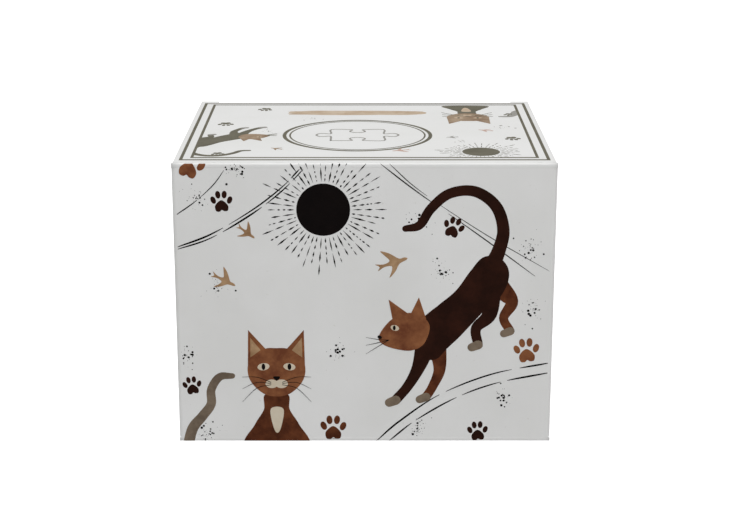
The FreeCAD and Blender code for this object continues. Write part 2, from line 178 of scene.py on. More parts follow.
class Paint:
    """One material: a Principled shader and the nodes that feed it."""

    def __init__(self, name, **fixed):
        self.material = bpy.data.materials.new(name)
        self.material.use_nodes = True
        self.tree = self.material.node_tree
        self.shader = self.tree.nodes["Principled BSDF"]
        for socket, value in fixed.items():
            words = socket.replace("_", " ").title().replace("Ior", "IOR")
            self.shader.inputs[words].default_value = value

    def node(self, kind, settings, sockets, output=0):
        made = self.tree.nodes.new(kind)
        for name, value in settings.items():
            setattr(made, name, value)
        for name, value in sockets.items():
            self.feed(made.inputs[name], value)
        return Wire(self, made.outputs[output])

    def feed(self, socket, value):
        if isinstance(value, Wire):
            self.tree.links.new(value.socket, socket)
        else:
            socket.default_value = value

    def drive(self, socket, value):
        self.feed(self.shader.inputs[socket], value)

    def place(self, kind="Object"):
        return self.node("ShaderNodeTexCoord", {}, {}, kind)

    def parts(self, vector):
        return [self.node("ShaderNodeSeparateXYZ", {}, {0: vector}, axis) for axis in "XYZ"]

    def noise(self, vector, scale, detail=3.0, roughness=0.55):
        sockets = {"Vector": vector, "Scale": scale, "Detail": detail, "Roughness": roughness}
        return self.node("ShaderNodeTexNoise", {}, sockets)

    def drawn_out(self, vector, scale, detail=3.0, roughness=0.55):
        """Noise with its own scale along each axis."""
        stretched = self.node("ShaderNodeMapping", {}, {"Vector": vector, "Scale": scale})
        return self.noise(stretched, 1.0, detail, roughness)

    def span(self, value, low, high, to_low=0.0, to_high=1.0):
        sockets = {0: value, 1: low, 2: high, 3: to_low, 4: to_high}
        return self.node("ShaderNodeMapRange", {}, sockets)

    def mix(self, share, first, second):
        """Mix of two colours, each a wire or three numbers as srgb takes them."""
        first, second = (c if isinstance(c, Wire) else srgb(*c) for c in (first, second))
        sockets = {"Factor": share, 6: first, 7: second}
        return self.node("ShaderNodeMix", {"data_type": "RGBA"}, sockets, 2)

    def finish(self, colour, roughness, height, strength, distance):
        """Feed the shader its colour, roughness and bump."""
        self.drive("Base Color", colour)
        self.drive("Roughness", roughness)
        sockets = {"Height": height, "Strength": strength, "Distance": distance}
        self.drive("Normal", self.node("ShaderNodeBump", {}, sockets))
        return self.material


def coated_board(name, flute_axis):
    """White coated liner: faint cloudiness, paper grain, and flutes that just show through."""
    paint = Paint(name, specular_ior_level=0.35)
    place = paint.place()
    cloud = paint.noise(place, 28.0, 4.0)
    grain = paint.noise(place, 1900.0, 2.0)
    colour = paint.mix(paint.span(cloud, 0.35, 0.68), (239, 239, 238), (232, 232, 230))
    specks = paint.span(paint.noise(place, 620.0, 2.0), 0.70, 0.78)
    colour = paint.mix(specks * 0.35, colour, (205, 202, 196))
    across = paint.parts(place)["XYZ".index(flute_axis)]
    relief = (across * (math.tau / FLUTE_PITCH)).sine() * 0.35 + grain * 0.25 + cloud * 1.5
    return paint.finish(colour, paint.span(cloud, 0.3, 0.7, 0.42, 0.52), relief, 0.25, 0.00006)


def kraft(name, tone, along):
    """Brown kraft paper: fibres drawn out along the machine direction, and darker flecks."""
    paint = Paint(name, specular_ior_level=0.2)
    place = paint.place()
    scale = [420.0 if axis == along else 2400.0 for axis in "XYZ"]
    fibres = paint.drawn_out(place, scale, 4.0, 0.65)
    dark, light = np.multiply(tone, 0.93), np.multiply(tone, 1.05)
    colour = paint.mix(paint.span(fibres, 0.32, 0.68), dark, light)
    cloud = paint.span(paint.noise(place, 60.0), 0.35, 0.7)
    colour = paint.mix(cloud * 0.4, colour, tone)
    flecks = paint.span(paint.noise(place, 1500.0, 1.0), 0.72, 0.8)
    colour = paint.mix(flecks * 0.35, colour, (104, 78, 52))
    return paint.finish(colour, paint.span(fibres, 0.3, 0.7, 0.78, 0.9), fibres, 0.5, 0.00008)


def ink(name, tone, second, wash):
    """Printed ink; wash is how much it clouds towards a second colour, as watercolour does."""
    paint = Paint(name, specular_ior_level=0.03)
    place = paint.place()
    cloud = paint.span(paint.noise(place, 130.0, 5.0, 0.6), 0.38, 0.66)
    fine = paint.noise(place, 900.0, 3.0)
    shade = cloud * wash + paint.span(fine, 0.45, 0.7) * (wash * 0.25)
    roughness = paint.span(fine, 0.3, 0.7, 0.55, 0.68)
    return paint.finish(paint.mix(shade, tone, second), roughness, fine, 0.15, 0.00003)


def sky(paint, uv, height, stretch, low, high):
    """Sky from a warm horizon up to blue between two heights, with streaks of cloud."""
    air = paint.mix(paint.span(height, low, high), (238, 214, 168), (96, 150, 190))
    cloud = paint.drawn_out(uv, stretch, 5.0)
    return paint.mix(paint.span(cloud, 0.52, 0.66), air, (244, 240, 230))


def ridges(across, drop):
    """Top edges of three ranges of hills, each a sine wave about its level."""
    ranges = ((0.50, 0.07, 5.0, 0.3), (0.36, 0.06, 8.0, 2.1), (0.20, 0.05, 11.0, 4.0))
    for level, swing, waves, start in ranges:
        yield level - drop + (across * waves + start).sine() * swing


def puzzle_print():
    """Printed face of the pieces: a plain landscape of sky, sun, hills and meadow, on the UVs."""
    paint = Paint("puzzle_print", specular_ior_level=0.45)
    uv = paint.place("UV")
    across, height, _ = paint.parts(uv)
    east, rise = across - 0.7, height - 0.78
    disc = (east * east * 1.45 + rise * rise) < 0.006
    colour = paint.mix(disc, sky(paint, uv, height, (5.0, 14.0, 1.0), 0.45, 1.0), (246, 188, 70))
    rough = paint.drawn_out(uv, (16.0, 16.0, 1.0), 6.0)
    tones = (
        ((92, 120, 140), (120, 144, 150)),
        ((70, 112, 78), (116, 146, 80)),
        ((148, 134, 58), (190, 170, 84)),
    )
    for ridge, (dark, light) in zip(ridges(across, 0.0), tones):
        tone = paint.mix(paint.span(rough, 0.4, 0.62), dark, light)
        colour = paint.mix(height < ridge + (rough - 0.5) * 0.05, colour, tone)
    petals = paint.node("ShaderNodeTexVoronoi", {}, {"Vector": uv, "Scale": 46.0}, "Distance")
    colour = paint.mix((petals < 0.27) * (height < 0.22), colour, (196, 62, 52))
    linen = (across * 1500.0).sine() * (height * 1250.0).sine()
    return paint.finish(colour, paint.span(linen, -1.0, 1.0, 0.34, 0.44), linen, 0.2, 0.00003)


def leaflet_paper():
    """Guide sheet: the picture inside a white border on the first leaf, plain paper elsewhere."""
    paint = Paint("leaflet_paper", specular_ior_level=0.35)
    uv = paint.place("UV")
    across, along, _ = paint.parts(uv)
    fibre = paint.noise(paint.place(), 700.0, 3.0)
    paper = paint.mix(paint.span(fibre, 0.35, 0.65), (240, 239, 235), (230, 229, 224))
    inside = (across > 0.05) * (across < 0.95) * (along > 0.07) * (along < 0.93)
    picture = sky(paint, uv, along, (3.0, 8.0, 1.0), 0.4, 0.95)
    for ridge, tone in zip(ridges(across, 0.02), ((100, 128, 142), (88, 128, 78), (168, 150, 70))):
        picture = paint.mix(along < ridge, picture, tone)
    colour = paint.mix(inside, paper, picture)
    return paint.finish(colour, paint.span(fibre, 0.3, 0.7, 0.4, 0.55), fibre, 0.3, 0.00004)


def greyboard():
    """Grey-blue back and cut sides of the pieces: pulpy board with pale and dark fibres."""
    paint = Paint("greyboard", specular_ior_level=0.15)
    place = paint.place()
    pulp = paint.noise(place, 1300.0, 4.0, 0.7)
    cloud = paint.span(paint.noise(place, 240.0), 0.4, 0.7)
    colour = paint.mix(paint.span(pulp, 0.35, 0.65), (120, 128, 132), (166, 170, 170))
    colour = paint.mix(cloud * 0.3, colour, (140, 132, 118))
    return paint.finish(colour, paint.span(pulp, 0.3, 0.7, 0.8, 0.92), pulp, 0.5, 0.0001)


def clear_film():
    """Thin clear bag film: mostly see-through, glossy, a little cloudy along its creases."""
    paint = Paint("clear_film", specular_ior_level=0.6, coat_weight=0.3)
    crease = paint.drawn_out(paint.place(), (150.0, 150.0, 52.5))
    paint.drive("Alpha", paint.span(crease, 0.35, 0.75, 0.07, 0.24))
    colour = paint.mix(crease, (226, 234, 240), (250, 252, 252))
    return paint.finish(colour, paint.span(crease, 0.3, 0.7, 0.05, 0.16), crease, 0.6, 0.0004)


def dried_glue():
    """Dry cold glue, amber and uneven."""
    paint = Paint("dried_glue", specular_ior_level=0.5)
    drops = paint.noise(paint.place(), 420.0)
    colour = paint.mix(drops, (196, 170, 120), (226, 208, 160))
    return paint.finish(colour, paint.span(drops, 0.3, 0.7, 0.25, 0.45), drops, 0.6, 0.0001)


WHITE = {axis: coated_board(f"coated_board_{axis.lower()}", axis) for axis in "XY"}
KRAFT = {axis: kraft(f"kraft_liner_{axis.lower()}", (176, 142, 102), axis) for axis in "XYZ"}
FLUTE = {axis: kraft(f"kraft_flute_{axis.lower()}", (164, 128, 88), axis) for axis in "XYZ"}
PUZZLE_PRINT = puzzle_print()
GREYBOARD = greyboard()
CLEAR_FILM = clear_film()
INK_COLOURS = {
    "black": ((8, 5, 5), (26, 18, 16), 0.25),
    "sepia": ((34, 16, 10), (60, 30, 20), 0.5),
    "umber": ((70, 34, 20), (116, 66, 40), 0.8),
    "chestnut": ((112, 64, 42), (158, 104, 68), 0.8),
    "tan": ((150, 116, 84), (192, 158, 122), 0.9),
    "taupe": ((110, 96, 82), (142, 126, 108), 0.8),
    "cream": ((214, 200, 176), (232, 222, 204), 0.6),
    # The five pale inks below are used only on the lid. They are the other inks made lighter and greyer,
    # to paint the glare of the light above on the lid.
    "pale_olive": ((104, 101, 88), (126, 122, 108), 0.5),
    "pale_grey": ((150, 148, 143), (168, 166, 160), 0.4),
    "pale_tan": ((188, 166, 142), (206, 190, 170), 0.9),
    "pale_brown": ((140, 118, 98), (176, 156, 134), 0.9),
    "pale_rust": ((190, 160, 148), (206, 184, 172), 0.7),
}
INKS = {name: ink(f"ink_{name}", *colours) for name, colours in INK_COLOURS.items()}


# ---- mesh making

def new_piece(name, vertices, faces, material, body, smooth=False):
    """A mesh object at the origin that rides on one body of the carton."""
    data = bpy.data.meshes.new(name)
    data.from_pydata(np.asarray(vertices).tolist(), [], faces)
    data.materials.append(material)
    data.polygons.foreach_set("use_smooth", np.full(len(data.polygons), smooth))
    data.update()
    piece = bpy.data.objects.new(name, data)
    bpy.context.scene.collection.objects.link(piece)
    if body:
        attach(piece, body)
    return piece


def shell(top, bottom):
    """Closed sheet between two grids of points (rows, columns, 3): both faces and four rims.

    All faces are turned to point outwards if the mesh's signed volume is negative.
    """
    rows, columns = top.shape[:2]
    upper = np.arange(rows * columns).reshape(rows, columns)
    under = upper + rows * columns
    both = np.stack([upper, under])

    def quads(grid):
        corners = (grid[:-1, :-1], grid[1:, :-1], grid[1:, 1:], grid[:-1, 1:])
        return np.stack(corners, -1).reshape(-1, 4)

    faces = [
        quads(upper),
        quads(under)[:, ::-1],
        quads(both[:, 0].T),
        quads(both[:, -1].T)[:, ::-1],
        quads(both[:, :, 0].T)[:, ::-1],
        quads(both[:, :, -1].T),
    ]
    points = np.concatenate([top.reshape(-1, 3), bottom.reshape(-1, 3)])
    faces = np.concatenate(faces)
    first, second, third, fourth = (points[faces[:, i]] for i in range(4))
    volume = np.sum(first * (np.cross(second, third) + np.cross(third, fourth)))
    return points, (faces if volume > 0 else faces[:, ::-1]).tolist()


def box(node):
    """A CAD node's lowest and highest corner."""
    return [np.array(corner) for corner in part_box(node)]


def node_mesh(node):
    """A CAD node's points and triangles as arrays."""
    data = frame["nodes"][node].data
    points = np.empty(len(data.vertices) * 3)
    data.vertices.foreach_get("co", points)
    corners = np.empty(len(data.loops), int)
    data.loops.foreach_get("vertex_index", corners)
    return points.reshape(-1, 3), corners.reshape(-1, 3)


def waved(distance, low, high, steepest):
    """Levels of a flute sheet's two faces: a plain sine that fills the room from low to high.

    The paper keeps its thickness square to the sheet, so it is taller where the sine is
    steep, but not more than steepest times.
    """
    middle, swing = (high + low) / 2, (high - low - FLUTE_PAPER) / 2
    turn = math.tau * distance / FLUTE_PITCH
    slope = swing * math.tau / FLUTE_PITCH * np.cos(turn)
    paper = FLUTE_PAPER / 2 * np.minimum(np.sqrt(1 + slope**2), steepest)
    return [np.clip(middle + swing * np.sin(turn) + side * paper, low, high) for side in (1, -1)]


def finish_fluting(node, grids, along):
    """Put a fluting sheet in place of its plain slab."""
    flute = FLUTE["XYZ"[int(np.argmax(np.abs(along)))]]
    body = frame["nodes"][node]["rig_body"]
    piece = new_piece(f"{node}_waves", *shell(*grids), flute, body, True)
    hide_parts(node)


def flat_fluting(node, across):
    """Fluting of one flat panel: a sine sheet clipped to the panel's outline.

    The panel's normal is its widest triangle's; the flutes run square to across, and for each
    place across, the outline's edges give where the sheet starts and ends.
    """
    points, triangles = node_mesh(node)
    first, second, third = (points[triangles[:, i]] for i in range(3))
    normals = np.cross(second - first, third - first)
    area = np.linalg.norm(normals, axis=1)
    normal = normals[area.argmax()] / area.max()
    along = np.cross(normal, across)
    u, v, w = points @ across, points @ along, points @ normal
    steps = int(np.ptp(u) / FLUTE_PITCH * FLAT_STEPS)
    place = np.linspace(u.min() + FLUTE_INSET, u.max() - FLUTE_INSET, steps)
    edges = np.concatenate([triangles[:, [i, (i + 1) % 3]] for i in range(3)])
    start, end = u[edges].T[..., None]
    near, far = v[edges].T[..., None]
    crosses = (np.minimum(start, end) <= place) & (np.maximum(start, end) >= place)
    spread = np.where(np.abs(end - start) < 1e-9, 1, end - start)
    reach = near + np.clip((place - start) / spread, 0, 1) * (far - near)
    low = np.where(crosses, reach, np.inf).min(0) + FLUTE_INSET
    high = np.where(crosses, reach, -np.inf).max(0) - FLUTE_INSET
    grids = []
    for level in waved(place, w.min(), w.max(), FLAT_STEEPEST):
        base = place[:, None] * across + level[:, None] * normal
        grids.append(np.stack([base + edge[:, None] * along for edge in (low, high)], 1))
    finish_fluting(node, grids, along)


def corner_fluting(node, left_fold):
    """Fluting of a wall that turns round vertical folds: the sine follows the bent middle line.

    The middle line is straight between quarter arcs about the folds' inner corners. There is
    always a fold at the right end, and one at the left end if left_fold is true.
    """
    low, high = box(node)
    centre_y, facing = (high[1], -1) if low[1] < 0 else (low[1], 1)
    radius = BOARD / 2
    quarter = radius * math.pi / 2
    start, bend = (cad_low[0] + BOARD, quarter) if left_fold else (low[0], 0.0)
    length = cad_high[0] - BOARD - start
    total = bend + length + quarter
    distance = np.linspace(0, total, int(total / FLUTE_PITCH * CORNER_STEPS))
    straight = np.clip(distance - bend, 0, length)
    before = np.clip((bend - distance) / radius, 0, math.pi / 2)
    after = np.clip((distance - bend - length) / radius, 0, math.pi / 2)
    turn = after - before
    normal = np.column_stack([np.sin(turn), facing * np.cos(turn)])
    centre = np.column_stack([start + straight, np.full_like(straight, centre_y)])
    grids = []
    for offset in waved(distance, LINER - radius, radius - LINER, CORNER_STEEPEST):
        line = centre + normal * (radius + offset)[:, None]
        rows = [np.column_stack([line, np.full(len(line), z)]) for z in (low[2], high[2])]
        grids.append(np.stack(rows, 1))
    finish_fluting(node, grids, UP)


def carton_board():
    """Liners keep their CAD shape, fluting becomes waves, and the glue gets its own look."""
    for node, piece in list(frame["nodes"].items()):
        dust, side = "dust" in node, "left" in node or "right" in node
        if node.endswith("printed_liner"):
            material = WHITE["Y" if side else "X"]
        elif node.endswith("inner_liner"):
            flat = node.startswith(("lid_", "bottom_")) and "tuck" not in node
            material = KRAFT["X" if dust else "Y" if flat else "Z"]
        elif node == "joint_glue_line":
            material = dried_glue()
        else:
            if node in ("front_wall_fluting", "back_wall_fluting"):
                corner_fluting(node, left_fold=node.startswith("front"))
            elif node.endswith("_fluting"):
                flat_fluting(node, BACK if side else RIGHT)
            continue
        piece.data.materials.clear()
        piece.data.materials.append(material)


# ---- folds

def fold(node, centre, axis, start_angle, end_angle, start_body, end_body):
    """A crushed fold: the outer liner carried round the inner corner, and the inner liner.

    The outer skin is one board from the corner: on a quarter turn by the measure
    (|cos|^tightness + |sin|^tightness)^(1/tightness), which squares it, and else round.  The
    inner skin runs one board along both panels just inside the corner, so that it bridges
    the gap once opened.
    """
    low, high = box(node)
    run, first = (RIGHT, BACK) if axis == "X" else (BACK, RIGHT)
    flare = FOLD_FLARE if node in ("lid_crease", "bottom_crease") else 0.0
    columns = np.linspace(low @ run - flare, high @ run + flare, FOLD_COLUMNS)[None, :, None] * run
    origin = first * centre[0] + UP * centre[1]

    def spokes(angle):
        return np.cos(angle)[..., None] * first + np.sin(angle)[..., None] * UP

    def layer(line, other):
        return shell(*((origin + points)[:, None, :] + columns for points in (line, other)))

    start, end = math.radians(start_angle), math.radians(end_angle)
    angle = np.linspace(start, end, FOLD_SPOKES)
    away = np.abs([np.cos(angle - start), np.sin(angle - start)]) ** FOLD_TIGHTNESS
    square = end_angle - start_angle == 90
    bulge = away.sum(0)[:, None] ** (-1 / FOLD_TIGHTNESS) if square else 1.0
    outer = spokes(angle) * bulge
    middle = (start + end) / 2
    inward = -spokes(np.array(middle))
    arms = spokes(np.array([start - math.pi / 2, end + math.pi / 2]))
    share = np.linspace(0, 1, LINING_STEPS)[1:, None] * BOARD
    inner = np.concatenate([arms[0] * share[::-1], np.zeros((1, 3)), arms[1] * share])
    inner = inner + inward * LINING_PROUD
    chord = spokes(np.array(middle + math.pi / 2)) * BOARD * math.sin((end - start) / 2)
    for name, mesh, material in (
        ("skin", layer(outer * BOARD, outer * (BOARD - LINER)), WHITE[axis]),
        ("lining", layer(inner, inner + inward * LINING_THICK), KRAFT["Z"]),
    ):
        piece = new_piece(f"{node}_{name}", *mesh, material, None, True)
        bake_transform(piece)
        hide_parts(node)


def folds():
    """Eight folds: front edge and tuck edge of both closures, and four dust flaps.

    A row gives a top fold's inner corner, the angles from BACK or RIGHT towards UP where it
    starts and ends, and its bodies there.  The bottom's folds are the same, mirrored.
    """
    for lid, rim, inner in (("lid", "top", 0), ("bottom", "bottom", 1)):
        front, tuck = box(f"{lid}_crease"), box(f"{lid}_tuck_crease")
        left, right = (f"{rim}_dust_flap_{side}" for side in ("left", "right"))
        left_box, right_box = box(f"{left}_crease"), box(f"{right}_crease")
        level = front[inner][2]
        for node, axis, corner, angles, bodies in (
            (lid, "X", (front[1][1], level), (90, 180), (lid, "carton")),
            (f"{lid}_tuck", "X", (tuck[0][1], level), (-TUCK_LEAN, 90), (f"{lid}_tuck_flap", lid)),
            (left, "Y", (left_box[1][0], left_box[inner][2]), (90, 180), (left, "carton")),
            (right, "Y", (right_box[0][0], right_box[inner][2]), (0, 90), ("carton", right)),
        ):
            if lid == "bottom":
                angles, bodies = (-angles[1], -angles[0]), bodies[::-1]
            fold(f"{node}_crease", corner, axis, *angles, *bodies)


# ---- drawing shapes, in millimetres

def spline(line, steps):
    """Points on the cubics from each inner point to the next that heed their outer neighbours."""
    p0, p1, p2, p3 = (line[k : len(line) - 3 + k, None, :] for k in range(4))
    share = np.linspace(0, 1, steps, endpoint=False)[:, None]
    linear = (p2 - p0) * share
    square = (2 * p0 - 5 * p1 + 4 * p2 - p3) * share**2
    cube = (3 * p1 - p0 - 3 * p2 + p3) * share**3
    return (0.5 * (2 * p1 + linear + square + cube)).reshape(-1, line.shape[1])


def rounded(points, steps=8):
    """Closed smooth outline through points."""
    ring = np.asarray(points, float)
    return spline(np.concatenate([ring[-1:], ring, ring[:2]]), steps)


def smooth_line(points, steps):
    """Smooth open line through points, its ends carried straight on; widths may be a column."""
    line = np.asarray(points, float)
    before, after = 2 * line[:1] - line[1:2], 2 * line[-1:] - line[-2:-1]
    return np.concatenate([spline(np.concatenate([before, line, after]), steps), line[-1:]])


def brush(points, widths, steps=8):
    """Outline of a brush stroke: a smooth open line whose width runs through the widths."""
    wide = np.broadcast_to(widths, len(points))
    curve = smooth_line(np.column_stack([points, wide]), steps)
    centre, width = curve[:, :2], np.maximum(curve[:, 2:], 0.02)
    ahead = np.gradient(centre, axis=0)
    ahead /= np.linalg.norm(ahead, axis=1, keepdims=True)
    side = np.column_stack([-ahead[:, 1], ahead[:, 0]]) * width / 2
    cap = np.linspace(0, math.pi, 7)[1:-1, None]
    tip = centre[-1] + side[-1] * np.cos(cap) + ahead[-1] * width[-1] / 2 * np.sin(cap)
    tail = centre[0] - side[0] * np.cos(cap) - ahead[0] * width[0] / 2 * np.sin(cap)
    return np.concatenate([centre + side, tip, (centre - side)[::-1], tail])


def ellipse(x, y, across, along, turn=0.0, steps=28):
    """Ellipse by half axes, turned in degrees."""
    angle = np.linspace(0, 2 * math.pi, steps, endpoint=False)
    return moved(np.column_stack([across * np.cos(angle), along * np.sin(angle)]), x, y, turn)


def moved(outline, x=0.0, y=0.0, turn=0.0, scale=1.0):
    """Outline scaled, turned in degrees about the origin, then shifted."""
    angle = math.radians(turn)
    matrix = np.array([[math.cos(angle), math.sin(angle)], [-math.sin(angle), math.cos(angle)]])
    return np.asarray(outline) @ matrix * scale + (x, y)


def arranged(drawing, inks=(), **how):
    """A whole drawing, a list of (ink, layer, outline), moved as one, its inks swapped by name."""
    inks = dict(inks)
    return [(inks.get(name, name), layer, moved(shape, **how)) for name, layer, shape in drawing]


def clipped(outline, low, high):
    """Outline cut to a window, one edge of the window after another."""
    for axis in (0, 1):
        for limit, sign in ((low[axis], 1), (high[axis], -1)):
            if len(outline) < 3:
                return outline
            room = sign * (outline[:, axis] - limit)
            ahead, room_ahead = np.roll(outline, -1, 0), np.roll(room, -1)
            kept = []
            for point, other, here, there in zip(outline, ahead, room, room_ahead):
                if here >= 0:
                    kept.append(point)
                if (here > 0 > there) or (here < 0 < there):
                    kept.append(point + (other - point) * here / (here - there))
            outline = np.array(kept)
    return outline


def several(shape, *rows):
    """One drawing of many: the shape is drawn with each row of numbers in turn."""
    return [part for row in rows for part in shape(*row)]


def paw(x, y, size, turn=0.0, colour="sepia"):
    """Paw print: a three-lobed pad and four toes."""
    pad = rounded([
        (0, 0.1), (0.17, 0.0), (0.31, -0.2), (0.27, -0.41), (0.11, -0.43), (0, -0.37),
        (-0.11, -0.45), (-0.27, -0.41), (-0.31, -0.18), (-0.17, 0.01),
    ])
    toes = [(-0.38, 0.12, 22), (-0.15, 0.37, 6), (0.15, 0.37, -6), (0.39, 0.1, -22)]
    shapes = [pad] + [ellipse(u, v, 0.12, 0.185, lean, 16) for u, v, lean in toes]
    return [(colour, 1, moved(shape, x, y, turn, size)) for shape in shapes]


def bird(x, y, size, turn=0.0, colour="tan"):
    """Bird in flight: two pointed wings, a slim body and a forked tail, one outline."""
    outline = [
        (0.54, 0.01), (0.44, 0.07), (0.3, 0.07), (0.2, 0.14), (0.0, 0.36), (-0.26, 0.52),
        (-0.16, 0.32), (-0.06, 0.1), (-0.3, 0.05), (-0.56, 0.13), (-0.44, 0.0), (-0.54, -0.12),
        (-0.3, -0.05), (-0.05, -0.09), (-0.1, -0.26), (-0.24, -0.46), (0.02, -0.3),
        (0.2, -0.11), (0.34, -0.06), (0.46, -0.04),
    ]
    return [(colour, 1, moved(rounded(outline, 3), x, y, turn, size))]


def specks(chance, x, y, spread, count=44, colour="black"):
    """Spatter of paint: many fine dots and a few larger ones, thinning outwards."""
    drawing = []
    for _ in range(count):
        far = spread * abs(chance.normal(0, 0.5))
        angle = chance.uniform(0, 2 * math.pi)
        radius = 0.08 + 0.4 * chance.random() ** 4
        dot = ellipse(x + far * math.cos(angle), y + far * math.sin(angle), radius, radius, 0, 8)
        drawing.append((colour, 0, dot))
    return drawing


def sun(chance, x, y, radius, reach, spokes=46, colour="black"):
    """Solid disc with broken rays: each ray is a row of slim tapered dashes."""
    drawing = [(colour, 1, ellipse(x, y, radius, radius, 0, 72))]
    for spoke in range(spokes):
        angle = 2 * math.pi * (spoke + chance.uniform(-0.12, 0.12)) / spokes
        ahead = np.array([math.cos(angle), math.sin(angle)])
        side = np.array([-ahead[1], ahead[0]])
        place = radius * (1.04 + 0.05 * chance.random())
        end = radius + (reach - radius) * chance.uniform(0.72, 1.0)
        shortest, longest = (0.08, 0.3) if spoke % 2 else (0.3, 0.62)
        while place < end:
            length = chance.uniform(shortest, longest) * radius
            half = side * chance.uniform(0.018, 0.036) * radius
            middle = ahead * (place + length * 0.6)
            dash = [ahead * place, middle - half, ahead * (place + length), middle + half]
            drawing.append((colour, 1, np.array(dash) + (x, y)))
            place += length + chance.uniform(0.03, 0.09) * radius
    return drawing


def thread(points, width, chance):
    """Hand-drawn line: a fine brush stroke broken where the pen lifts."""
    fine = smooth_line(points, 14)
    drawing, start = [], 0
    while start < len(fine) - 3:
        length = int(chance.integers(12, 30))
        part = fine[start : start + length]
        wide = width * chance.uniform(0.7, 1.2)
        taper = np.sin(np.linspace(0.12, math.pi - 0.12, len(part))) ** 0.6 * wide
        drawing.append(("black", 0, brush(part, taper, 2)))
        start += length + 1
    return drawing


def hair(root, middle, tip):
    """One fine hair of a muzzle."""
    return [("black", 6, brush([root, middle, tip], [0.22, 0.2, 0.05], 5))]


def leaping_cat():
    """Plain cat silhouette bounding down to the left, in profile, with its tail held high."""
    tail = [
        (42.6, 63), (45.4, 69), (47.0, 77), (44.2, 85.4), (37.0, 90.4), (28.6, 89.6),
        (22.4, 84.4), (18.6, 78.6), (13.8, 77.4),
    ]
    body = [
        (45.2, 67.4), (40.2, 67.2), (35.8, 62.0), (31.4, 55.6), (25.8, 50.6), (20.4, 46.0),
        (17.0, 41.6), (17.6, 36.2), (20.2, 31.0), (24.8, 30.6), (28.4, 34.4), (32.6, 38.6),
        (37.0, 43.6), (41.6, 48.8), (46.6, 53.4), (49.2, 59.4), (48.6, 64.2),
    ]
    head = [
        (22.4, 42.6), (19.4, 46.4), (14.6, 47.4), (9.8, 45.4), (6.4, 41.8), (4.8, 38.2),
        (6.6, 35.8), (11.2, 34.2), (16.4, 33.8), (20.6, 36.4),
    ]
    legs = (
        ("umber", 1, (25.0, 36.0), (26.0, 27.0), (23.6, 20.4), (21.4, 16.6), (6.6, 4.2, 3.2, 3.2)),
        ("umber", 1, (45.6, 57.0), (50.4, 51.4), (47.8, 45.6), (50.2, 40.8), (7.6, 4.6, 3.2, 3.0)),
        ("sepia", 3, (21.4, 36.4), (18.6, 27.4), (15.0, 20.6), (10.8, 15.4), (7.6, 4.6, 3.5, 3.5)),
        ("sepia", 3, (42.4, 55.4), (42.8, 46.8), (38.4, 41.8), (39.2, 35.8), (9.0, 5.2, 3.6, 3.3)),
    )
    ears = (
        ((9.6, 45.0), (8.2, 52.2), (14.6, 47.4)),
        ((15.8, 47.0), (18.6, 53.0), (21.2, 45.2)),
    )
    drawing = [
        ("sepia", 1, brush(tail, [6.0, 4.8, 4.2, 3.9, 3.7, 3.5, 3.3, 3.0, 2.2])),
        ("sepia", 2, rounded(body, 6)),
    ]
    for colour, layer, *joints, widths in legs:
        foot, narrow = joints[-1], widths[-1]
        toe = (foot[0] - 2.2, foot[1] - 0.9)
        drawing.append((colour, layer, brush(joints, widths)))
        drawing.append(("taupe", layer + 1, brush([foot, toe], (narrow, narrow * 0.9), 4)))
    drawing.append(("chestnut", 5, rounded(head)))
    for root, tip, end in ears:
        hidden = ((root[0] + end[0]) / 2, (root[1] + end[1]) / 2 - 2.4)
        drawing.append(("chestnut", 4, np.array([root, tip, end, hidden])))
    drawing += [
        ("cream", 6, ellipse(10.4, 42.0, 1.5, 1.0, -18)),
        ("black", 7, ellipse(10.2, 42.0, 0.5, 0.9, 0, 14)),
        ("black", 6, ellipse(5.2, 38.6, 0.8, 0.6, -30, 12)),
    ]
    for lift in (-2.6, -0.6, 1.2):
        drawing += hair((8.4, 37.6), (5.0, 37.0 + lift * 0.6), (0.4, 36.6 + lift * 1.6))
    return drawing


